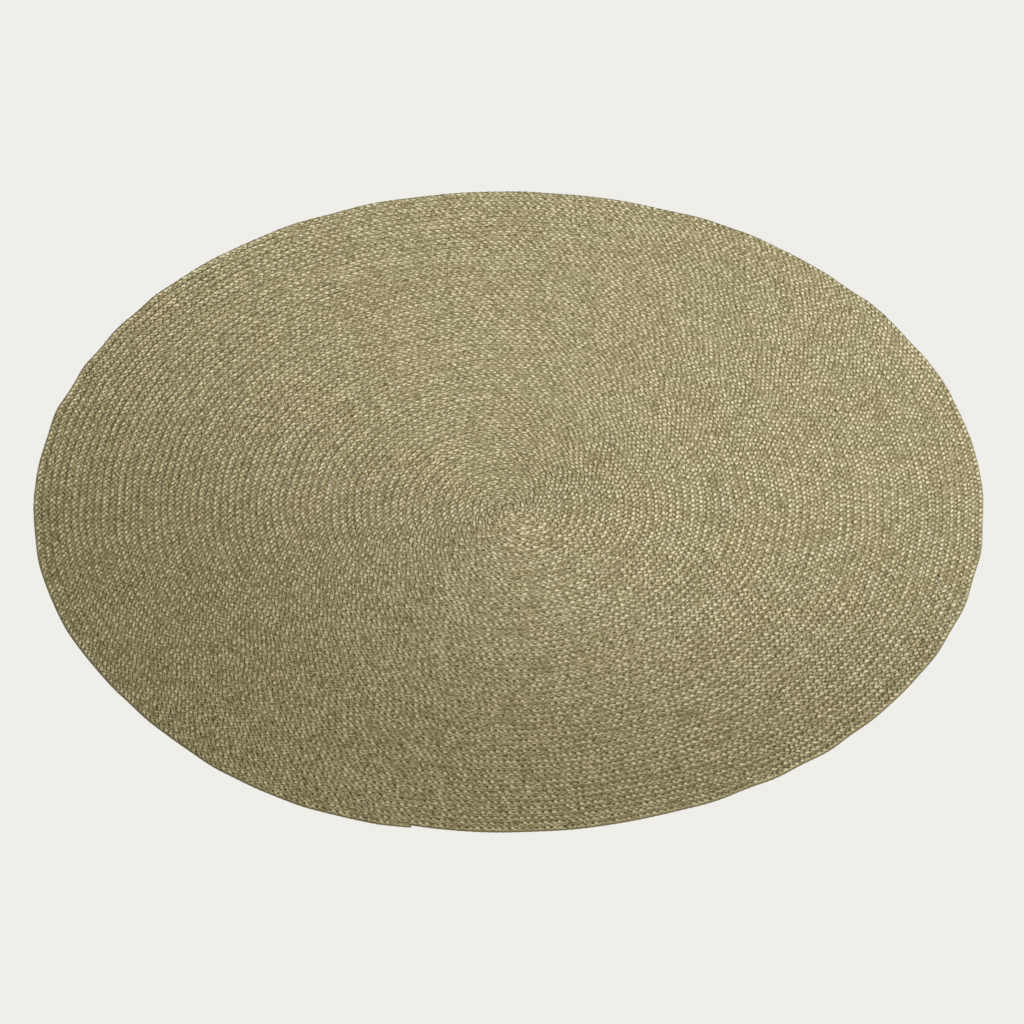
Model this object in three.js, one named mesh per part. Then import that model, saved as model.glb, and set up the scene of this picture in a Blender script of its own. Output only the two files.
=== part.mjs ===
// Round braided rug.
// One long flat three-strand plait of jute yarn lies on its broad side and is wound into a
// spiral round the rug's heart. Its edges are sewn together, so the rug is a single flat mat
// with one raised rib for each turn of the plait. Seen from above, the spiral runs outwards
// counterclockwise and ends at the front, left of the middle, where the plait is tapered
// and tucked in. Millimetres, +Z up, the front of the rug towards -Y. The underside is flat
// and lies at z = 0, with the origin under the middle of the outline.

import * as THREE from 'three';

// Driving dimensions
const PLAIT_WIDTH = 15.6;
const TURNS = 64;
const HEART_REACH = 9.2;
const THICKNESS = 10;
const RIB_HEIGHT = 3;
const RIM_HEIGHT = 4.5;
const RIM_UNDERCUT = 2.5;
const END_AT_DEG = 258;
const END_TAPER = 70;
const END_WIDTH_SHARE = 0.4;
const END_DROP = 2;

// Where the sewing is looser or tighter the rim lies further out or in.
// The last turns share most of this, and the heart none of it.
const UNEVEN_RIM = [
  { at_deg: 22, out_mm: -6, spread_deg: 26 },
  { at_deg: 82, out_mm: -5, spread_deg: 13 },
  { at_deg: 128, out_mm: 3, spread_deg: 15 },
  { at_deg: 215, out_mm: -6, spread_deg: 8 },
  { at_deg: 242, out_mm: 9, spread_deg: 10 },
  { at_deg: 266, out_mm: 5, spread_deg: 8 },
  { at_deg: 312, out_mm: 4, spread_deg: 26 },
];
const UNEVEN_FADE = 4;

// The faces get longer as the turns get wider.
const FACETS_PER_TURN = [
  { from_turn: 0, facets: 12 },
  { from_turn: 3, facets: 24 },
  { from_turn: 14, facets: 48 },
];

const FULL_TURN = 2 * Math.PI;
const RUG_RADIUS = HEART_REACH + PLAIT_WIDTH * TURNS;

// The direction in plan, in radians, of a place on the plait given in turns from its start
function headingAt(turn) {
  return THREE.MathUtils.degToRad(END_AT_DEG) + FULL_TURN * (turn - TURNS);
}

// How far the sewing pushes a place outwards
function unevenness(radius, heading) {
  let out = 0;
  for (const { at_deg, out_mm, spread_deg } of UNEVEN_RIM) {
    const away = heading - THREE.MathUtils.degToRad(at_deg);
    const shortest = Math.atan2(Math.sin(away), Math.cos(away));
    const spread = THREE.MathUtils.degToRad(spread_deg);
    out += out_mm * Math.exp(-0.5 * (shortest / spread) ** 2);
  }
  return out * (radius / RUG_RADIUS) ** UNEVEN_FADE;
}

// 0 along the plait, rising to 1 at its tucked end
function endTaper(turn) {
  const left = (TURNS - turn) * FULL_TURN * RUG_RADIUS;
  return 1 - THREE.MathUtils.clamp(left / END_TAPER, 0, 1);
}

// A point at a share of the plait's width, 0 at its inner edge and 1 at its outer edge
function plaitPoint(turn, share, height, inset = 0) {
  const width = PLAIT_WIDTH * (1 - (1 - END_WIDTH_SHARE) * endTaper(turn));
  const innerEdge = HEART_REACH + PLAIT_WIDTH * (turn - 1);
  const heading = headingAt(turn);
  const even = innerEdge + width * share;
  const radius = even + unevenness(even, heading) - inset;
  return new THREE.Vector3(radius * Math.cos(heading), radius * Math.sin(heading), height);
}

// The places along the plait that get a row of points, in turns from its start
function placesAlongPlait() {
  const places = [];
  for (let i = 0; i < FACETS_PER_TURN.length; i += 1) {
    const { from_turn: from, facets } = FACETS_PER_TURN[i];
    const to = i + 1 < FACETS_PER_TURN.length ? FACETS_PER_TURN[i + 1].from_turn : TURNS;
    for (let step = 0; step < (to - from) * facets; step += 1) {
      places.push(from + step / facets);
    }
  }
  const taperStart = TURNS - END_TAPER / (FULL_TURN * RUG_RADIUS);
  places.push(taperStart, TURNS);
  return places;
}

// Points and triangles of a closed mesh, joined by the points' numbers
class Skin {
  constructor() {
    this.points = [];
    this.faces = [];
  }

  add(point) {
    this.points.push(point);
    return this.points.length - 1;
  }

  face(a, b, c) {
    this.faces.push(a, b, c);
  }

  // Fills the band between two lines of points that run counterclockwise side by side.
  // Each line is a list of { at, point }, where at says how far round the point lies.
  band(inner, outer) {
    let i = 0;
    let o = 0;
    while (i < inner.length - 1 || o < outer.length - 1) {
      const innerNext = i + 1 < inner.length ? inner[i + 1].at : Infinity;
      const outerNext = o + 1 < outer.length ? outer[o + 1].at : Infinity;
      if (outerNext <= innerNext) {
        this.face(inner[i].point, outer[o].point, outer[o + 1].point);
        o += 1;
      } else {
        this.face(inner[i].point, outer[o].point, inner[i + 1].point);
        i += 1;
      }
    }
  }

  geometry() {
    const shape = new THREE.BufferGeometry().setFromPoints(this.points);
    shape.setIndex(this.faces);
    shape.computeVertexNormals();
    return shape;
  }
}

// The ribbed top: crest lines and groove lines on the one spiral
function addTop(skin) {
  const grooveHeight = THICKNESS - RIB_HEIGHT;
  const places = placesAlongPlait();
  const onRim = (turn) => turn > TURNS - 1;

  const edges = places.map((turn) => {
    const height = onRim(turn) ? RIM_HEIGHT : grooveHeight;
    return { at: turn, point: skin.add(plaitPoint(turn, 1, height)) };
  });
  const crests = places.map((turn) => {
    const height = THICKNESS - END_DROP * endTaper(turn);
    return { at: turn, point: skin.add(plaitPoint(turn, 0.5, height)) };
  });

  skin.band(crests, edges);
  const innerEdges = edges
    .filter(({ at }) => at <= TURNS - 1)
    .map(({ at, point }) => ({ at: at + 1, point }));
  const laterCrests = crests.filter(({ at }) => at >= 1);
  skin.band(innerEdges, laterCrests);

  closeHeart(skin, crests, edges);
  return { edges, crests };
}

// The first turn has no turn inside it, so its crest closes on the middle of the rug
function closeHeart(skin, crests, edges) {
  const firstTurn = crests.filter(({ at }) => at <= 1);
  const middle = skin.add(new THREE.Vector3(0, 0, THICKNESS));
  for (let i = 0; i + 1 < firstTurn.length; i += 1) {
    skin.face(middle, firstTurn[i].point, firstTurn[i + 1].point);
  }
  skin.face(middle, firstTurn.at(-1).point, edges[0].point);
  skin.face(middle, edges[0].point, crests[0].point);
}

// The rim's lower half, the blunt end of the plait and the flat underside
function addRimAndUnderside(skin, { edges, crests }) {
  const rim = edges.filter(({ at }) => at >= TURNS - 1);
  const foot = rim.map(({ at }) => ({
    at,
    point: skin.add(plaitPoint(at, 1, 0, RIM_UNDERCUT)),
  }));
  skin.band(rim, foot);

  const [innerEdge, outerEdge] = [rim[0].point, rim.at(-1).point];
  const [innerFoot, outerFoot] = [foot[0].point, foot.at(-1).point];
  skin.face(innerEdge, crests.at(-1).point, outerEdge);
  skin.face(innerEdge, outerEdge, outerFoot);
  skin.face(innerEdge, outerFoot, innerFoot);

  const under = skin.add(new THREE.Vector3(0, 0, 0));
  for (let i = 0; i + 1 < foot.length; i += 1) {
    skin.face(under, foot[i + 1].point, foot[i].point);
  }
  skin.face(under, innerFoot, outerFoot);
}

// Moves the rug so that the middle of its outline stands over the origin
function centreOutline(shape) {
  shape.computeBoundingBox();
  const middle = shape.boundingBox.getCenter(new THREE.Vector3());
  return shape.translate(-middle.x, -middle.y, 0);
}

const juteYarn = new THREE.MeshStandardMaterial({
  color: 0x96895f,
  roughness: 0.95,
  metalness: 0,
});

function makeRug() {
  const skin = new Skin();
  addRimAndUnderside(skin, addTop(skin));
  const rug = new THREE.Mesh(centreOutline(skin.geometry()), juteYarn);
  rug.name = 'braided_rug';
  return rug;
}

const part = new THREE.Group();
part.add(makeRug());

export default part;
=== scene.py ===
"""Round braided rug: one long flat three-strand jute plait, wound into a spiral and sewn.

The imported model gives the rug's outline and thickness. This file replaces its plain ribbed
solid with the plait itself: every place where a strand comes up, crosses the plait and goes
down again is modelled as a rounded lobe, in two staggered half-rows along the whole length.
"""

import math

import bpy
import numpy as np
from bpy.props import FloatProperty, FloatVectorProperty, IntProperty, PointerProperty
from mathutils import Matrix, Vector


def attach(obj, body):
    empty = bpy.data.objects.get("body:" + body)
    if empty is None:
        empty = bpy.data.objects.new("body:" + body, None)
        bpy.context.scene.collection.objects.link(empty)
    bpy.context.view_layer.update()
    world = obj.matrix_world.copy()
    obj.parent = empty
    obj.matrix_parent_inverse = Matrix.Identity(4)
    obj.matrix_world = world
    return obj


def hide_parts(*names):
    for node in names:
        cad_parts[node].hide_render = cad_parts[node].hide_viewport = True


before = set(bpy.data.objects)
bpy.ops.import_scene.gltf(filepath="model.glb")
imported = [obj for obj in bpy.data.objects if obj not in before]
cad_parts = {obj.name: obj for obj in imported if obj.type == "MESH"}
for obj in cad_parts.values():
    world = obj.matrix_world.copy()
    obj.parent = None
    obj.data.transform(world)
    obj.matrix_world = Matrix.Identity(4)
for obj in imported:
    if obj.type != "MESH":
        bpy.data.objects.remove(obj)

bl_info = {
    "name": "Round braided rug",
    "version": (1, 0, 0),
    "blender": (4, 5, 0),
    "location": "3D View > Sidebar > Rug",
    "description": "Builds a round rug from one long jute plait, with its floor, lights and camera",
    "category": "Add Mesh",
}

MM = 0.001
FULL_TURN = 2 * math.pi

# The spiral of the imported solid, in metres and degrees
END_AT_DEG = 258
END_TAPER = 0.070
END_WIDTH_SHARE = 0.4
END_DROP_SHARE = 0.2
UNEVEN_RIM = (
    # at degrees, out in mm, spread in degrees
    (22, -6, 26),
    (82, -5, 13),
    (128, 3, 15),
    (215, -6, 8),
    (242, 9, 10),
    (266, 5, 8),
    (312, 4, 26),
)
UNEVEN_FADE = 4
RIM_FACETS_PER_TURN = 48

# The plait starts as a thin tail inside the first turn, which fills the rug's heart.
FIRST_TURN = -0.45
HEART_HOLE = 0.0003
# No link is longer than this share of the radius that it lies on.
LONGEST_LINK_BY_RADIUS = 1.25
STEPS_PER_TURN = 360
SECTIONS = 7

# Soft uneven fields are sums of waves. Their lengths lie between these shares of the one asked
# for, which is in metres for the link length and for the wandering of the turns.
WAVE_COUNT = 9
WAVE_LENGTHS = (0.7, 1.5)
LINK_WAVE = 0.9
LINK_SEED = 3
WANDER_WAVE = 0.15
WANDER_X_SEED = 11
WANDER_Y_SEED = 12

# One link of the plait has one lobe in each half. Places are (along, across, height): along in
# links, across from the middle of the plait's width and height above its mid-plane, both in mm
# for a plait 15.6 mm wide and 10 mm thick. The sewing pulls the inner edge down, so the outer
# half shows plump lobes that reach over the middle, and the inner half lower ones behind them.
CELL_HALF_WIDTH = 7.8
CELL_HALF_THICKNESS = 5.0

# The strands cross each other on a zigzag line between the two halves.
MIDDLE_LINE = ((-0.16, 0.3, 1.7), (0.06, -1.5, 2.7), (0.36, -2.6, 2.0), (0.66, -1.3, 2.8))

# A lobe of each half, in three rows from the middle line to the edge. The four places of a row
# are the crease before the lobe, its first flank, its ridge and its second flank. The inner
# half's lobes lie half a link further on.
OUTER_LOBE = (
    ((-0.10, 1.6, 1.9), (0.08, 0.5, 4.0), (0.36, -0.8, 5.0), (0.68, 0.4, 4.1)),
    ((0.20, 4.7, 1.7), (0.36, 4.2, 3.1), (0.66, 3.6, 4.2), (1.00, 4.2, 3.2)),
    ((0.55, 7.8, 2.3), (0.71, 7.9, 2.9), (1.00, 8.3, 3.2), (1.32, 7.9, 2.8)),
)
INNER_LOBE = (
    ((-0.10, -3.8, 0.7), (0.07, -3.1, 1.6), (0.38, -2.6, 2.2), (0.70, -3.1, 1.6)),
    ((0.12, -5.7, 1.2), (0.28, -5.2, 2.1), (0.58, -5.0, 2.9), (0.92, -5.2, 2.2)),
    ((0.40, -7.8, 2.2), (0.56, -7.9, 2.6), (0.86, -8.3, 3.0), (1.18, -8.0, 2.5)),
)
TOP_PLACES = 4

# The underside has half as many places in a row, crease and ridge: at its edges and inside them.
UNDER_EDGE = ((0.10, 7.9, -3.4), (0.60, 8.0, -2.6))
UNDER_INSIDE = ((0.00, 4.7, -4.3), (0.50, 4.3, -5.0))
UNDER_PLACES = 2

# Rows of points run along the plait, side by side: on the top from the inner edge over the
# middle line to the outer edge, and on the underside from the outer edge back to the inner one.
MIDDLE_ROW = 3
OUTER_EDGE_ROW = 6
UNDER_OUTER_EDGE_ROW = 7
UNDER_INNER_EDGE_ROW = 10
NOT_ON_TOP = -99

# How much the places of a lobe follow its own random lift, lean and bulge, and how much each
# row does, from the middle line to the edge. The lean is in links and the bulge in mm.
PLACE_FOLLOWS = (0.0, 0.8, 1.0, 0.8)
ROW_FOLLOWS = (1.0, 1.0, 0.4)
MOOD_SEED = 20
MOOD_LIMIT = 2
LEAN_CHANGE = 0.07
BULGE_CHANGE = 0.45
# Lobes that start before the first link or end after the last have moods too.
SPARE_LOBES = 2

# Rows in the yarn's own map, which has the links of the plait as its other direction. The
# underside has a range of its own, round UNDER_MAP_MIDDLE.
TOP_MAP_ROWS = (-1.05, -0.70, -0.35, 0.0, 0.35, 0.70, 1.05)
FOOT_MAP_ROW = 1.45
UNDER_MAP_ROWS = (11.0, 10.5, 9.5, 9.0)
UNDER_MAP_MIDDLE = 10.0
UNDER_MAP_START = 5.0

# Millimetres down a strand and over it, for a step of one link along the plait and of half the
# plait's width across it
LINK_DOWN_STRAND = 11.5
LINK_OVER_STRAND = 9.0
HALF_DOWN_STRAND = 19.5

# How deep the creases are, for their relief and for the painted shade in them. Between two lobes
# they fade away from the crease line and towards the edge, and along the middle line they fade towards
# the lobes.
BETWEEN_DEPTH = 1.1
BETWEEN_RISE = (0.70, 1.0)
BETWEEN_FADE = (0.5, 1.1)
MIDDLE_CREASE_DEPTH = 0.2
MIDDLE_CREASE_FADE = (0.0, 0.16)

# The hole beside a lobe, where the next strand goes down, dented in the relief and darkened with
# painted shade: its place as shares of the lobe from crease to crease and from the middle line to the
# edge, how narrow it is each way, how deep and dark it is, and how it fades outwards
HOLE_OVER_LOBE = 0.10
HOLE_DOWN_LOBE = 0.22
HOLE_NARROWNESS = (24.0, 20.0)
HOLE_DEPTH = 0.7
HOLE_FADE = (0.2, 1.0)

# The painted highlight on a lobe's crest, a pale oval: how far down the strand it lies, the squares of
# half its length and half its breadth in mm, its least strength and how much more it may be. Most
# lobes get a faint highlight and a few of them a bright one.
CREST_DOWN_STRAND = 1.0
CREST_LENGTH_SQUARED = 25.0
CREST_BREADTH_SQUARED = 10.0
CREST_LEAST = 0.15
CREST_CHANGE = 1.9

# Yarns lie side by side in a strand. Streaks and fibres follow them: the numbers are steps of
# the pattern for a millimetre over the strand and down it, and from one lobe to the next.
YARN_BREADTH = 3.4
GROOVE_RISE = (0.55, 1.0)
STREAK_STEPS = (0.42, 0.15, 2.3)
FIBRE_STEPS = (1.9, 0.35, 3.7)
FIBRE_CONTRAST = (0.3, 0.7)
FIBRE_ROUGHNESS = 0.6

# The strands' tones drift over so many lobes, each strand for itself.
STRANDS = 3.0
DRIFT_LOBES = 70.0
STRAND_STEP = 9.3

# Added to a lobe's number, these give it random draws of its own for its painted crest highlight and
# its painted crease shade.
CREST_DRAW = 0.37
CREASE_DRAW = 5000.61

# Clouds of tint, patches of tone and pale flecks over the rug, in steps for each metre
CLOUD_SCALE = 5.5
CLOUD_CONTRAST = (0.36, 0.64)
PATCH_SCALE = 38.0
FLECK_SCALE = 160.0
FLECK_RISE = (0.66, 0.78)

# The tone of the yarn is 0 in its deep colour, MIDDLE_TONE in its middle one and 1 in its pale
# one. These are the shares that make it up: the yarn's own drift, patches, streaks and fibres, the
# painted highlight on the crests, painted light towards the plait's edges, and painted shade in the
# creases, in the yarn grooves and on the sides at the rim.
MIDDLE_TONE = 0.42
# Painted highlight on the crests, a little weaker on the inner half
CREST_HIGHLIGHT_TONE = 1.24
INNER_CREST_LOSS = 0.20
INNER_HALF_TONE = 0.01
DRIFT_TONE = 0.25
PATCH_TONE = 0.25
STREAK_TONE = 0.80
FIBRE_TONE = 0.15
# Painted light towards the plait's edges, which lifts the shade in the gap between turns
EDGE_PAINTED_LIGHT = 0.12
EDGE_RISE = (0.5, 1.0)
BASE_LOSS = 0.39
# Painted shade in the creases and holes, with a random share for each lobe
CREASE_PAINTED_SHADE = 0.20
CREASE_PAINTED_SHADE_CHANGE = 0.75
# Painted shade in the grooves between the yarns
GROOVE_PAINTED_SHADE = 0.12
# Painted shade on the plait's sides, seen only at the rim
SIDE_PAINTED_SHADE = 0.9
SIDE_RISE = (0.98, 1.22)
PALE_FLECK = 0.5

# The yarn's gloss, and its relief as shares of RELIEF_HEIGHT
YARN_ROUGHNESS = 0.5
YARN_SPECULAR = 0.5
FIBRE_RELIEF = 0.15
STREAK_RELIEF = 0.35
GROOVE_RELIEF = 0.5
CREASE_RELIEF = 0.4
RELIEF_HEIGHT = 0.0012
RELIEF_STRENGTH = 0.7

# The stage. The camera stands far away, so that the rug has next to no perspective.
FLOOR_WIDTH = 600.0
FLOOR_DROP = 0.0005
FILL_COLOUR = (1.0, 0.98, 0.85)
WINDOW_PLACE = (1.42, -1.7, 1.31)
WINDOW_COLOUR = (1.0, 0.98, 0.90)
WINDOW_SPREAD = math.radians(25)
OVERHEAD_PLACE = (0.6, -0.6, 2.9)
OVERHEAD_AIM = (0.88, 1.75, 0)
OVERHEAD_COLOUR = (0.90, 0.93, 1.0)
OVERHEAD_CONE = math.radians(92)
OVERHEAD_RADIUS = 0.4
CAMERA_AIM = (0.0074, -0.0105, 0.007)
SENSOR_WIDTH = 36.0
VIEW_WIDTH = 2.1535
FURTHEST_SEEN = 1000.0


class PlaitSizes(bpy.types.PropertyGroup):
    """Sizes of the plait and of the spiral it lies in"""

    width: FloatProperty(
        name="Plait width",
        description="Width of the flat plait, which is also the step from turn to turn",
        default=0.0156,
        precision=4,
        unit="LENGTH",
    )
    thickness: FloatProperty(
        name="Thickness",
        description="Height of the rug above the floor",
        default=0.010,
        precision=4,
        unit="LENGTH",
    )
    turns: IntProperty(
        name="Turns",
        description="Turns of the spiral from the heart to the tucked end",
        default=64,
    )
    heart_reach: FloatProperty(
        name="Heart reach",
        description="Radius of the plait's outer edge where the first turn starts",
        default=0.0092,
        precision=4,
        unit="LENGTH",
    )
    link: FloatProperty(
        name="Link length",
        description="Distance along the plait from one lobe of a half-row to the next",
        default=0.01455,
        precision=5,
        unit="LENGTH",
    )
    link_change: FloatProperty(
        name="Link change",
        description="How much the link length changes along the plait, as a share",
        default=0.07,
        subtype="FACTOR",
    )
    wander: FloatProperty(
        name="Wander",
        description="How far the turns wander out of their even spiral",
        default=0.0014,
        precision=4,
        unit="LENGTH",
    )
    lobe_change: FloatProperty(
        name="Lobe change",
        description="How much higher or lower than its neighbours a lobe may be",
        default=0.0007,
        precision=4,
        unit="LENGTH",
    )


class YarnColours(bpy.types.PropertyGroup):
    """Colours of the jute yarn"""

    # The deep colour is that of the darkest fibres, and also of the painted shade in the creases
    deep: FloatVectorProperty(
        name="Deep yarn",
        description="Colour of the darkest fibres and of the dusty creases",
        default=(0.120, 0.096, 0.030),
        subtype="COLOR",
    )
    middle: FloatVectorProperty(
        name="Yarn",
        description="Colour of most of the yarn",
        default=(0.322, 0.276, 0.143),
        subtype="COLOR",
    )
    # The pale colour is that of the palest fibres and the pale flecks, and also of the painted
    # highlight on the crests
    pale: FloatVectorProperty(
        name="Pale fibres",
        description="Colour of the palest fibres, on the rubbed crests of the lobes",
        default=(0.640, 0.575, 0.385),
        subtype="COLOR",
    )
    green: FloatVectorProperty(
        name="Greenish tint",
        description="Tint of the yarn from less retted stems",
        default=(0.985, 1.0, 1.0),
        subtype="COLOR",
    )
    brown: FloatVectorProperty(
        name="Brownish tint",
        description="Tint of the yarn from ripe stems",
        default=(1.0, 0.985, 0.98),
        subtype="COLOR",
    )


class StageLight(bpy.types.PropertyGroup):
    """Floor, lights and camera"""

    ground: FloatVectorProperty(
        name="Ground",
        description="Colour of the floor and of the space round it",
        default=(0.863, 0.855, 0.815),
        subtype="COLOR",
    )
    fill: FloatProperty(
        name="Fill light",
        description="Strength of the soft light from all sides",
        default=0.25,
    )
    window: FloatProperty(
        name="Window light",
        description="Strength of the low, soft, warm light from the front right",
        default=3.2,
    )
    overhead: FloatProperty(
        name="Overhead light",
        description="Power of the soft-edged lamp high over the front right, aimed at the back right",
        default=350.0,
        unit="POWER",
    )
    camera_rise: FloatProperty(
        name="Camera rise",
        description="Angle of the camera above the floor",
        default=math.radians(42.35),
        subtype="ANGLE",
    )
    camera_reach: FloatProperty(
        name="Camera distance",
        description="Distance of the camera from the rug",
        default=100.0,
        unit="LENGTH",
    )


# The spiral


def soft_waves(x, y, wavelength, seed):
    """A smooth uneven field over the floor, mostly between -1 and 1"""
    rng = np.random.default_rng(seed)
    total = np.zeros_like(x)
    for _ in range(WAVE_COUNT):
        heading = rng.uniform(0, FULL_TURN)
        length = wavelength * rng.uniform(*WAVE_LENGTHS)
        phase = rng.uniform(0, FULL_TURN)
        total += np.sin((x * math.cos(heading) + y * math.sin(heading)) * FULL_TURN / length + phase)
    return total / math.sqrt(WAVE_COUNT)


class Spiral:
    """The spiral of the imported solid, and the way from the plait's links to places in it"""

    def __init__(self, sizes):
        self.sizes = sizes
        self.rim_radius = sizes.heart_reach + sizes.width * sizes.turns
        self.middle = self.find_middle()
        self.count_links()

    def heading(self, turn):
        """Direction in plan of a place given in turns from the start of the spiral"""
        return math.radians(END_AT_DEG) + FULL_TURN * (turn - self.sizes.turns)

    def taper(self, turn):
        """0 along the plait, rising to 1 at its tucked end"""
        left = (self.sizes.turns - turn) * FULL_TURN * self.rim_radius
        return 1 - np.clip(left / END_TAPER, 0, 1)

    def edges(self, turn):
        """Radius of the plait's inner and outer edge"""
        sizes = self.sizes
        inner = sizes.heart_reach + sizes.width * (turn - 1)
        outer = inner + sizes.width * (1 - (1 - END_WIDTH_SHARE) * self.taper(turn))
        return np.maximum(inner, HEART_HOLE), outer

    def uneven(self, radius, heading):
        """A radius with what the sewing adds to it, less and less towards the heart"""
        out = np.zeros_like(radius)
        for at_deg, out_mm, spread_deg in UNEVEN_RIM:
            away = heading - math.radians(at_deg)
            shortest = np.arctan2(np.sin(away), np.cos(away))
            out += out_mm * MM * np.exp(-0.5 * (shortest / math.radians(spread_deg)) ** 2)
        return radius + out * (radius / self.rim_radius) ** UNEVEN_FADE

    def find_middle(self):
        """The middle of the solid's outline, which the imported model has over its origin"""
        first = (self.sizes.turns - 1) * RIM_FACETS_PER_TURN
        last = self.sizes.turns * RIM_FACETS_PER_TURN
        turn = np.arange(first, last + 1) / RIM_FACETS_PER_TURN
        heading = self.heading(turn)
        radius = self.uneven(self.edges(turn)[1], heading)
        x, y = radius * np.cos(heading), radius * np.sin(heading)
        return (x.min() + x.max()) / 2, (y.min() + y.max()) / 2

    def count_links(self):
        """Lays links of slowly changing length along the plait, shorter in the tight heart"""
        sizes = self.sizes
        steps = round((sizes.turns - FIRST_TURN) * STEPS_PER_TURN)
        self.turn = np.linspace(FIRST_TURN, sizes.turns, steps)
        inner, outer = self.edges(self.turn)
        radius = (inner + outer) / 2
        heading = self.heading(self.turn)
        run = np.hypot(np.diff(radius), np.diff(heading) * (radius[1:] + radius[:-1]) / 2)
        self.length = np.concatenate(([0], np.cumsum(run)))
        change = soft_waves(self.length, np.zeros_like(self.length), LINK_WAVE, LINK_SEED)
        link = sizes.link * (1 + sizes.link_change * change)
        link = np.minimum(link, LONGEST_LINK_BY_RADIUS * radius)
        links = np.concatenate(([0], np.cumsum(run / ((link[1:] + link[:-1]) / 2))))
        self.total = int(round(links[-1]))
        self.links = links * self.total / links[-1]

    def place(self, link, across, height):
        """Points in metres, for places along the plait in links and the cell's mm across and up"""
        sizes = self.sizes
        turn = np.interp(link, self.links, self.turn)
        inner, outer = self.edges(turn)
        radius = (inner + outer) / 2 + across / CELL_HALF_WIDTH * (outer - inner) / 2
        radius = np.maximum(radius, 0)
        heading = self.heading(turn)
        radius = self.uneven(radius, heading)
        x = radius * np.cos(heading) - self.middle[0]
        y = radius * np.sin(heading) - self.middle[1]
        slim = np.sqrt(np.clip((outer - inner) / sizes.width, 0, 1))
        half = sizes.thickness / 2
        z = half + height / CELL_HALF_THICKNESS * half * np.where(height > 0, slim, 1)
        z = z * (1 - END_DROP_SHARE * self.taper(turn))
        shift_x = sizes.wander * soft_waves(x, y, WANDER_WAVE, WANDER_X_SEED)
        shift_y = sizes.wander * soft_waves(x, y, WANDER_WAVE, WANDER_Y_SEED)
        return np.stack((x + shift_x, y + shift_y, z), axis=-1)


# The plait


def lobe_moods(sizes, total):
    """Random lift, lean and bulge of every lobe, for the inner and the outer half"""
    rng = np.random.default_rng(MOOD_SEED)
    count = total + 2 * SPARE_LOBES + 1
    moods = []
    for _ in range(2):
        lift, lean, bulge = (
            np.clip(rng.normal(size=count), -MOOD_LIMIT, MOOD_LIMIT) * most
            for most in (sizes.lobe_change / MM, LEAN_CHANGE, BULGE_CHANGE)
        )
        moods.append((lift, lean, bulge))
    return moods


def lay_row(places, half_on, columns):
    """Along, across and height of a row's points, and the lobe and place in it of each"""
    table = np.array(places)
    per_link = len(places)
    shifted = columns - (per_link // 2 if half_on else 0)
    lobe = shifted // per_link
    part = shifted % per_link
    along = lobe + table[part, 0] + (0.5 if half_on else 0)
    return along, table[part, 1], table[part, 2], lobe, part


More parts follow.
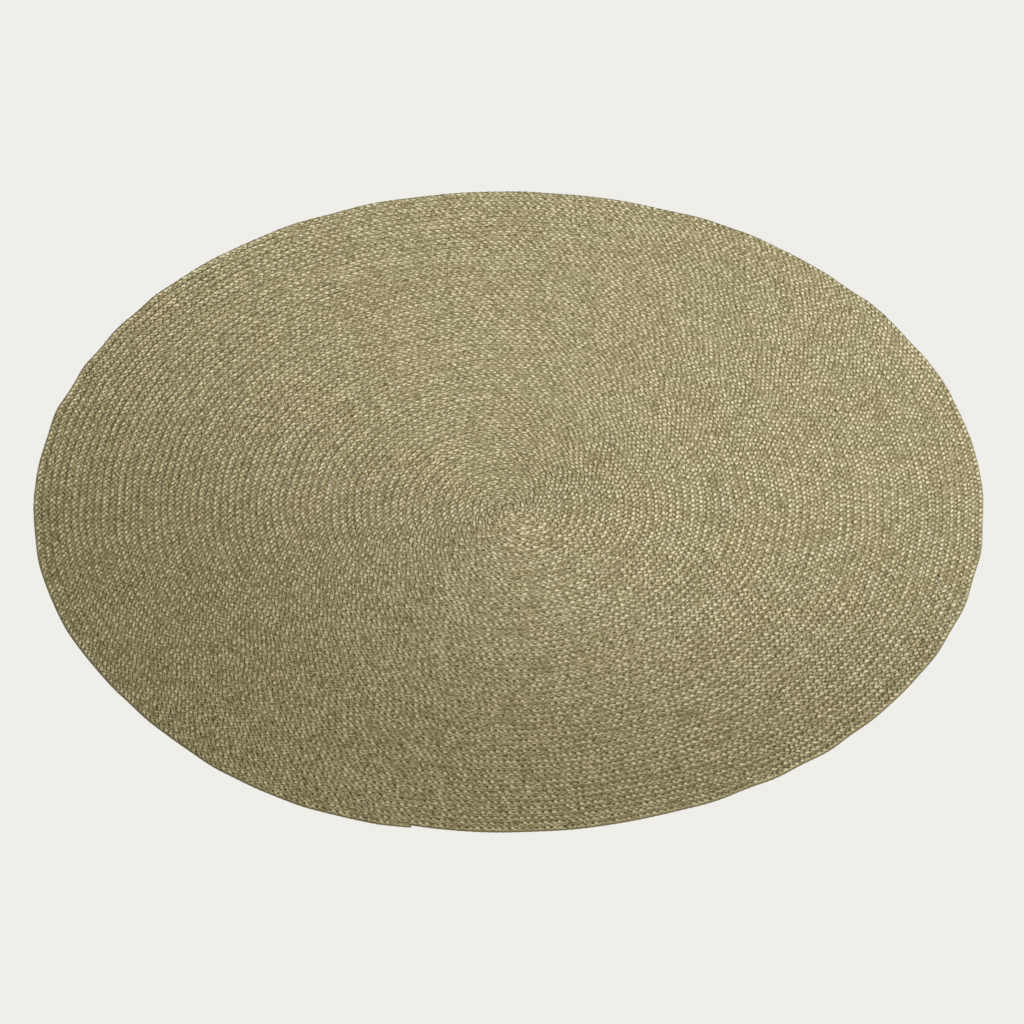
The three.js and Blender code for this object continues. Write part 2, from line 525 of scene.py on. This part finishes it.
class PlaitSection:
    """Points, faces and yarn map of one stretch of the plait, closed at both ends"""

    def __init__(self, spiral, first, last, moods):
        self.spiral = spiral
        self.first = first
        self.last = last
        self.moods = moods
        self.rows = []
        self.starts = []
        self.count = 0
        self.build_rows()

    def columns(self, places):
        """Numbers of a row's points, with so many places in a link"""
        return np.arange(places * self.first, places * self.last + 1)

    def add_row(self, along, across, height):
        points = self.spiral.place(along, across, height)
        self.starts.append(self.count)
        self.count += len(points)
        self.rows.append(points)

    def lobe_row(self, level, inner):
        """A row over the lobes of one half, level 0 next to the middle line and 2 at the edge"""
        table = (INNER_LOBE if inner else OUTER_LOBE)[level]
        along, across, height, lobe, part = lay_row(table, inner, self.columns(TOP_PLACES))
        lift, lean, bulge = (mood[lobe + SPARE_LOBES] for mood in self.moods[0 if inner else 1])
        follows = np.array(PLACE_FOLLOWS)[part] * ROW_FOLLOWS[level]
        self.add_row(along + lean * follows, across + bulge * follows, height + lift * follows)

    def build_rows(self):
        for level in (2, 1, 0):
            self.lobe_row(level, inner=True)
        along, across, height, _, _ = lay_row(MIDDLE_LINE, False, self.columns(TOP_PLACES))
        self.add_row(along, across, height)
        for level in (0, 1, 2):
            self.lobe_row(level, inner=False)
        for places, inner in (
            (UNDER_EDGE, False),
            (UNDER_INSIDE, False),
            (UNDER_INSIDE, True),
            (UNDER_EDGE, True),
        ):
            along, across, height, _, _ = lay_row(places, inner, self.columns(UNDER_PLACES))
            self.add_row(along, -across if inner else across, height)

    def corners(self):
        """Quads and triangles as point numbers, each with its places in the yarn map"""
        quads, quad_map, thirds, third_map = [], [], [], []
        fine = np.arange(TOP_PLACES * (self.last - self.first))
        coarse = np.arange(UNDER_PLACES * (self.last - self.first))
        coarse_u = self.first + coarse / UNDER_PLACES

        def band(row, steps, places, v_row, v_next):
            """Quads between a row and the next one"""
            a, b = self.starts[row] + steps, self.starts[row + 1] + steps
            quads.append(np.stack((a, b, b + 1, a + 1), axis=-1))
            at, step = self.first + steps / places, 1 / places
            u = np.stack((at, at, at + step, at + step), axis=-1)
            v = np.broadcast_to((v_row, v_next, v_next, v_row), u.shape)
            quad_map.append(np.stack((u, v), axis=-1))

        def side(rim_row, foot_row, outwards):
            """Triangles that close the side between the top and the underside"""
            way = 1 if outwards else -1
            rim = self.starts[rim_row] + TOP_PLACES // UNDER_PLACES * coarse
            foot = self.starts[foot_row] + coarse
            high = [(rim + step, step / TOP_PLACES, way * TOP_MAP_ROWS[-1]) for step in range(3)]
            low = [(foot + step, step / UNDER_PLACES, way * FOOT_MAP_ROW) for step in range(2)]
            for one, two, three in (
                (high[0], low[0], high[1]),
                (high[1], low[0], low[1]),
                (high[1], low[1], high[2]),
            ):
                points, steps, v = zip(*((one, two, three) if outwards else (two, one, three)))
                thirds.append(np.stack(points, axis=-1))
                u = np.stack([coarse_u + step for step in steps], axis=-1)
                third_map.append(np.stack((u, np.broadcast_to(v, u.shape)), axis=-1))

        for row in range(OUTER_EDGE_ROW):
            band(row, fine, TOP_PLACES, TOP_MAP_ROWS[row], TOP_MAP_ROWS[row + 1])
        for row in range(UNDER_OUTER_EDGE_ROW, UNDER_INNER_EDGE_ROW):
            place = row - UNDER_OUTER_EDGE_ROW
            band(row, coarse, UNDER_PLACES, UNDER_MAP_ROWS[place], UNDER_MAP_ROWS[place + 1])
        side(OUTER_EDGE_ROW, UNDER_OUTER_EDGE_ROW, outwards=True)
        side(0, UNDER_INNER_EDGE_ROW, outwards=False)

        for at_start in (True, False):
            ring = [
                start if at_start else start + len(row) - 1
                for start, row in zip(self.starts, self.rows)
            ]
            fan = np.array([(ring[0], ring[i], ring[i + 1]) for i in range(1, len(ring) - 1)])
            thirds.append(fan[:, ::-1] if at_start else fan)
            link = float(self.first if at_start else self.last)
            third_map.append(np.broadcast_to((link, FOOT_MAP_ROW), fan.shape + (2,)))

        return (np.concatenate(quads), np.concatenate(quad_map),
                np.concatenate(thirds), np.concatenate(third_map))

    def is_crease(self, one, two):
        """Whether edges, given by their two points' numbers, lie in a crease between lobes"""
        row = np.full(self.count, NOT_ON_TOP)
        column = np.full(self.count, NOT_ON_TOP)
        for level in range(OUTER_EDGE_ROW + 1):
            points = slice(self.starts[level], self.starts[level] + len(self.rows[level]))
            row[points] = level - MIDDLE_ROW
            column[points] = np.arange(len(self.rows[level]))
        on_top = (row[one] > NOT_ON_TOP) & (row[two] > NOT_ON_TOP)
        along_middle = on_top & (row[one] == 0) & (row[two] == 0)
        over_half = on_top & (column[one] == column[two]) & (row[one] != row[two])
        outer = over_half & (row[one] + row[two] > 0) & (column[one] % TOP_PLACES == 0)
        inner = over_half & (row[one] + row[two] < 0) & (column[one] % TOP_PLACES == TOP_PLACES // 2)
        return along_middle | outer | inner


def build_mesh(name, section):
    """A mesh object from a section's points and faces, with its yarn map and sharp creases"""
    points = np.concatenate(section.rows)
    quads, quad_map, thirds, third_map = section.corners()
    corners = np.concatenate((quads.ravel(), thirds.ravel()))
    sizes = np.concatenate((np.full(len(quads), 4), np.full(len(thirds), 3)))
    starts = np.concatenate(([0], np.cumsum(sizes)[:-1]))

    mesh = bpy.data.meshes.new(name)
    mesh.vertices.add(len(points))
    mesh.vertices.foreach_set("co", points.astype(np.float32).ravel())
    mesh.loops.add(len(corners))
    mesh.loops.foreach_set("vertex_index", corners.astype(np.int32))
    mesh.polygons.add(len(sizes))
    mesh.polygons.foreach_set("loop_start", starts.astype(np.int32))
    mesh.polygons.foreach_set("use_smooth", np.ones(len(sizes), dtype=bool))
    mesh.update(calc_edges=True)

    yarn_map = mesh.uv_layers.new(name="yarn")
    places = np.concatenate((quad_map.reshape(-1, 2), third_map.reshape(-1, 2)))
    yarn_map.uv.foreach_set("vector", places.astype(np.float32).ravel())

    ends = np.empty(2 * len(mesh.edges), dtype=np.int32)
    mesh.edges.foreach_get("vertices", ends)
    sharp = mesh.attributes.new("sharp_edge", "BOOLEAN", "EDGE")
    sharp.data.foreach_set("value", section.is_crease(ends[::2], ends[1::2]))

    if mesh.validate(verbose=True):
        raise RuntimeError(f"{name} has faulty faces")
    piece = bpy.data.objects.new(name, mesh)
    bpy.context.collection.objects.link(piece)
    return piece


# The finish


class Value:
    """A socket of a node, on which numbers are worked out by adding Math nodes"""

    def __init__(self, finish, socket):
        self.finish = finish
        self.socket = socket

    def maths(self, operation, *others):
        return self.finish.maths(operation, self, *others)

    def __add__(self, other):
        return self.maths("ADD", other)

    __radd__ = __add__

    def __sub__(self, other):
        return self.maths("SUBTRACT", other)

    def __rsub__(self, other):
        return self.finish.maths("SUBTRACT", other, self)

    def __mul__(self, other):
        return self.maths("MULTIPLY", other)

    __rmul__ = __mul__

    def __truediv__(self, other):
        return self.maths("DIVIDE", other)

    def __gt__(self, other):
        return self.maths("GREATER_THAN", other)

    def __lt__(self, other):
        return self.maths("LESS_THAN", other)

    def size(self):
        return self.maths("ABSOLUTE")

    def floor(self):
        return self.maths("FLOOR")

    def fraction(self):
        return self.maths("FRACT")

    def largest(self, other):
        return self.maths("MAXIMUM", other)

    def squared(self):
        return self * self

    def rise(self, low, high):
        """0 below low, 1 above high, with a soft step between them"""
        return self.finish.node(
            "ShaderNodeMapRange",
            {"interpolation_type": "SMOOTHSTEP"},
            {"Value": self, "From Min": low, "From Max": high},
        )("Result")


class Finish:
    """The nodes of a material or of the world"""

    def __init__(self, owner):
        owner.use_nodes = True
        self.tree = owner.node_tree
        self.tree.nodes.clear()

    def node(self, kind, settings=None, sockets=None):
        """Adds a node, and gives the way to its outputs, by name or number"""
        made = self.tree.nodes.new(kind)
        for setting, value in (settings or {}).items():
            setattr(made, setting, value)
        for name, value in (sockets or {}).items():
            if isinstance(value, Value):
                self.tree.links.new(value.socket, made.inputs[name])
            else:
                made.inputs[name].default_value = value
        return lambda name: Value(self, made.outputs[name])

    def maths(self, operation, *values):
        return self.node("ShaderNodeMath", {"operation": operation}, dict(enumerate(values)))("Value")

    def vector(self, x, y, z=0.0):
        return self.node("ShaderNodeCombineXYZ", None, {"X": x, "Y": y, "Z": z})("Vector")

    def noise(self, place, scale=1.0, detail=2.0, roughness=0.5):
        sockets = {"Vector": place, "Scale": scale, "Detail": detail, "Roughness": roughness}
        return self.node("ShaderNodeTexNoise", None, sockets)("Fac")

    def chance(self, number):
        """A random value from 0 to 1 for each number"""
        return self.node("ShaderNodeTexWhiteNoise", {"noise_dimensions": "1D"}, {"W": number})("Value")

    def mix(self, factor, one, two, way="MIX"):
        """Mixes two colours, which are sockets 6 and 7 of the node, into its output 2"""
        settings = {"data_type": "RGBA", "blend_type": way}
        return self.node("ShaderNodeMix", settings, {0: factor, 6: one, 7: two})(2)


def opaque(colour):
    """A colour with its alpha"""
    return (*colour, 1.0)


class LobeMap:
    """Where a point lies on the plait, read from the yarn map"""

    def __init__(self, finish):
        uv = finish.node("ShaderNodeUVMap", {"uv_map": "yarn"})("UV")
        parts = finish.node("ShaderNodeSeparateXYZ", None, {"Vector": uv})
        row = parts("Y")
        self.under = row > UNDER_MAP_START
        row = row - self.under * UNDER_MAP_MIDDLE
        self.inner_half = row < 0.0
        lobe_place = parts("X") + self.inner_half * 0.5

        # Shares of a lobe from crease to crease, and from the middle line to the edge
        self.over = lobe_place.fraction()
        self.down = row.size()
        self.number = lobe_place.floor() * 2.0 + self.inner_half

        # Millimetres from the lobe's middle, down the strand and over it
        off_over = self.over - 0.5
        self.length = off_over * LINK_DOWN_STRAND + (self.down - 0.5) * HALF_DOWN_STRAND
        self.breadth = off_over * LINK_OVER_STRAND


def crease_shade_and_relief(lobe):
    """Depth of the creases between neighbouring lobes and along the middle line, and of the hole
    beside a lobe, for the relief and the painted shade
    """
    to_crease = (lobe.over - 0.5).size() * 2.0
    between = to_crease.rise(*BETWEEN_RISE) * (BETWEEN_DEPTH - lobe.down.rise(*BETWEEN_FADE))
    at_middle = 1.0 - lobe.down.rise(*MIDDLE_CREASE_FADE)
    off_hole = (lobe.over - HOLE_OVER_LOBE).squared() * HOLE_NARROWNESS[0]
    off_hole = off_hole + (lobe.down - HOLE_DOWN_LOBE).squared() * HOLE_NARROWNESS[1]
    hole = HOLE_DEPTH - HOLE_DEPTH * off_hole.rise(*HOLE_FADE)
    return between.largest(at_middle * MIDDLE_CREASE_DEPTH).largest(hole)


def crest_highlight(lobe, chance):
    """The painted highlight on a lobe's crest, a pale oval which leans the way the strand runs"""
    off_length = (lobe.length - CREST_DOWN_STRAND).squared() / CREST_LENGTH_SQUARED
    off_breadth = lobe.breadth.squared() / CREST_BREADTH_SQUARED
    oval = 1.0 - (off_length + off_breadth).rise(0.0, 1.0)
    return oval * (CREST_LEAST + CREST_CHANGE * chance * chance * chance) * (1.0 - lobe.under)


def strand_noise(finish, lobe, steps, detail):
    """Noise drawn out along the strand, different on every lobe"""
    over, down, number = steps
    place = finish.vector(lobe.breadth * over, lobe.length * down, lobe.number * number)
    return finish.noise(place, detail=detail, roughness=FIBRE_ROUGHNESS).rise(*FIBRE_CONTRAST)


def jute_finish(colours):
    """Dry jute: fibres along each strand, tints that drift over the rug, painted shade in the creases
    and a painted highlight on the crests
    """
    material = bpy.data.materials.new("jute_yarn")
    finish = Finish(material)
    lobe = LobeMap(finish)
    crease = crease_shade_and_relief(lobe)
    # Painted highlight: a pale oval on each lobe's crest
    crest = crest_highlight(lobe, finish.chance(lobe.number + CREST_DRAW))
    crease_chance = finish.chance(lobe.number + CREASE_DRAW)
    # The grooves between the yarns of a strand, dented in the relief and darkened with painted shade
    groove = ((lobe.breadth / YARN_BREADTH).fraction() - 0.5).size() * 2.0
    groove = groove.rise(*GROOVE_RISE)
    streak = strand_noise(finish, lobe, STREAK_STEPS, detail=2.0)
    fibre = strand_noise(finish, lobe, FIBRE_STEPS, detail=3.0)
    strand = ((lobe.number / STRANDS).fraction() * STRANDS).floor()
    drift = finish.noise(finish.vector(lobe.number / DRIFT_LOBES, strand * STRAND_STEP))
    place = finish.node("ShaderNodeTexCoord")("Object")
    cloud = finish.noise(place, CLOUD_SCALE, detail=3.0, roughness=0.55)
    patch = finish.noise(place, PATCH_SCALE)
    fleck = finish.noise(place, FLECK_SCALE)

    # Painted light makes the plait's edges a little paler, and painted shade darkens its sides, seen
    # only at the rim
    tone = (CREST_HIGHLIGHT_TONE - INNER_CREST_LOSS * lobe.inner_half) * crest
    tone = tone + DRIFT_TONE * drift + PATCH_TONE * patch + STREAK_TONE * streak + FIBRE_TONE * fibre
    # Painted light towards the plait's edges, which lifts the shade in the gap between turns
    tone = tone + EDGE_PAINTED_LIGHT * lobe.down.rise(*EDGE_RISE) + INNER_HALF_TONE * lobe.inner_half
    # Painted shade on the plait's sides, seen only at the rim, and in the grooves between the yarns
    tone = tone - SIDE_PAINTED_SHADE * lobe.down.rise(*SIDE_RISE) - BASE_LOSS - GROOVE_PAINTED_SHADE * groove
    # Painted shade in the creases and the holes beside the lobes, stronger on some lobes than others
    tone = tone - (CREASE_PAINTED_SHADE + CREASE_PAINTED_SHADE_CHANGE * crease_chance) * crease

    pale = opaque(colours.pale)
    dark_part = finish.mix(tone / MIDDLE_TONE, opaque(colours.deep), opaque(colours.middle))
    colour = finish.mix((tone - MIDDLE_TONE) / (1 - MIDDLE_TONE), dark_part, pale)
    tint = finish.mix(cloud.rise(*CLOUD_CONTRAST), opaque(colours.green), opaque(colours.brown))
    colour = finish.mix(1.0, colour, tint, "MULTIPLY")
    colour = finish.mix(fleck.rise(*FLECK_RISE) * fibre * PALE_FLECK, colour, pale)

    relief = fibre * FIBRE_RELIEF + streak * STREAK_RELIEF - groove * GROOVE_RELIEF
    relief = relief - crease * CREASE_RELIEF
    bump = finish.node(
        "ShaderNodeBump",
        None,
        {"Strength": RELIEF_STRENGTH, "Distance": RELIEF_HEIGHT, "Height": relief},
    )
    shader = finish.node(
        "ShaderNodeBsdfPrincipled",
        None,
        {
            "Base Color": colour,
            "Roughness": YARN_ROUGHNESS,
            "Specular IOR Level": YARN_SPECULAR,
            "Normal": bump("Normal"),
        },
    )
    finish.node("ShaderNodeOutputMaterial", None, {"Surface": shader("BSDF")})
    return material


# The operators and the stage


class RUG_OT_plait(bpy.types.Operator):
    """Lay the jute plait of the rug, in sections that follow each other"""

    bl_idname = "rug.plait"
    bl_label = "Jute plait"

    def execute(self, context):
        sizes = context.scene.rug_plait
        spiral = Spiral(sizes)
        moods = lobe_moods(sizes, spiral.total)
        yarn = jute_finish(context.scene.rug_yarn)
        ends = [round(spiral.total * share / SECTIONS) for share in range(SECTIONS + 1)]
        for number, (first, last) in enumerate(zip(ends, ends[1:]), start=1):
            section = PlaitSection(spiral, first, last, moods)
            piece = build_mesh(f"plait_{number}", section)
            piece.data.materials.append(yarn)
            length = float(np.diff(np.interp((first, last), spiral.links, spiral.length))[0])
            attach(piece, "root")
            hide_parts("braided_rug")
        return {"FINISHED"}


def glow(name, colour):
    """A plain even surface, as bright from every side"""
    material = bpy.data.materials.new(name)
    finish = Finish(material)
    light = finish.node("ShaderNodeEmission", None, {"Color": opaque(colour), "Strength": 1.0})
    finish.node("ShaderNodeOutputMaterial", None, {"Surface": light("Emission")})
    return material


def light_room(world, fill_strength, ground_colour):
    """Soft light from all sides, in a room that the camera sees in the floor's colour"""
    finish = Finish(world)
    seen = finish.node("ShaderNodeLightPath")("Is Camera Ray")
    fill_sockets = {"Color": opaque(FILL_COLOUR), "Strength": fill_strength}
    fill = finish.node("ShaderNodeBackground", None, fill_sockets)("Background")
    ground = finish.node("ShaderNodeBackground", None, {"Color": opaque(ground_colour)})("Background")
    mixed = finish.node("ShaderNodeMixShader", None, {0: seen, 1: fill, 2: ground})("Shader")
    finish.node("ShaderNodeOutputWorld", None, {"Surface": mixed})


def add_lamp(kind, name, place, target, **settings):
    """A lamp at a place, turned to a target"""
    lamp = bpy.data.lights.new(name, kind)
    for setting, value in settings.items():
        setattr(lamp, setting, value)
    holder = bpy.data.objects.new(name, lamp)
    bpy.context.collection.objects.link(holder)
    holder.location = place
    holder.rotation_euler = (Vector(target) - Vector(place)).to_track_quat("-Z", "Y").to_euler()


def add_camera(rise, reach):
    """A camera in front of the rug and above it, as far away as reach"""
    camera = bpy.data.cameras.new("camera")
    view = bpy.data.objects.new("camera", camera)
    bpy.context.collection.objects.link(view)
    camera.sensor_width = SENSOR_WIDTH
    camera.lens = camera.sensor_width * reach / VIEW_WIDTH
    camera.clip_end = FURTHEST_SEEN
    back = Vector((0, -math.cos(rise), math.sin(rise)))
    view.location = Vector(CAMERA_AIM) + back * reach
    view.rotation_euler = (-back).to_track_quat("-Z", "Y").to_euler()
    return view


class RUG_OT_stage(bpy.types.Operator):
    """Set up the pale floor, the soft lights and the camera"""

    bl_idname = "rug.stage"
    bl_label = "Floor, lights and camera"

    def execute(self, context):
        light = context.scene.rug_stage
        bpy.ops.mesh.primitive_plane_add(size=FLOOR_WIDTH, location=(0, 0, 0))
        floor = context.object
        floor.name = "floor"
        floor.data.transform(Matrix.Translation((0, 0, -FLOOR_DROP)))
        floor.data.materials.append(glow("floor", light.ground))

        context.scene.world = bpy.data.worlds.new("room")
        light_room(context.scene.world, light.fill, light.ground)
        add_lamp(
            "SUN",
            "window",
            WINDOW_PLACE,
            (0, 0, 0),
            energy=light.window,
            angle=WINDOW_SPREAD,
            color=WINDOW_COLOUR,
        )
        add_lamp(
            "SPOT",
            "overhead",
            OVERHEAD_PLACE,
            OVERHEAD_AIM,
            energy=light.overhead,
            spot_size=OVERHEAD_CONE,
            spot_blend=1.0,
            shadow_soft_size=OVERHEAD_RADIUS,
            color=OVERHEAD_COLOUR,
        )
        context.scene.camera = add_camera(light.camera_rise, light.camera_reach)
        context.scene.view_settings.view_transform = "Standard"
        return {"FINISHED"}


class RUG_PT_sidebar(bpy.types.Panel):
    """Lists the rug's pieces and their settings"""

    bl_idname = "RUG_PT_sidebar"
    bl_label = "Round braided rug"
    bl_space_type = "VIEW_3D"
    bl_region_type = "UI"
    bl_category = "Rug"

    def draw(self, context):
        for settings, operator in (
            (context.scene.rug_plait, RUG_OT_plait),
            (context.scene.rug_yarn, None),
            (context.scene.rug_stage, RUG_OT_stage),
        ):
            box = self.layout.box()
            for name in settings.__annotations__:
                box.prop(settings, name)
            if operator:
                box.operator(operator.bl_idname)


CLASSES = (PlaitSizes, YarnColours, StageLight, RUG_OT_plait, RUG_OT_stage, RUG_PT_sidebar)


def register():
    for each in CLASSES:
        bpy.utils.register_class(each)
    bpy.types.Scene.rug_plait = PointerProperty(type=PlaitSizes)
    bpy.types.Scene.rug_yarn = PointerProperty(type=YarnColours)
    bpy.types.Scene.rug_stage = PointerProperty(type=StageLight)


def unregister():
    del bpy.types.Scene.rug_stage
    del bpy.types.Scene.rug_yarn
    del bpy.types.Scene.rug_plait
    for each in reversed(CLASSES):
        bpy.utils.unregister_class(each)


def main():
    register()
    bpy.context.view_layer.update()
    bpy.ops.rug.stage()
    bpy.ops.rug.plait()


if __name__ == "__main__":
    main()
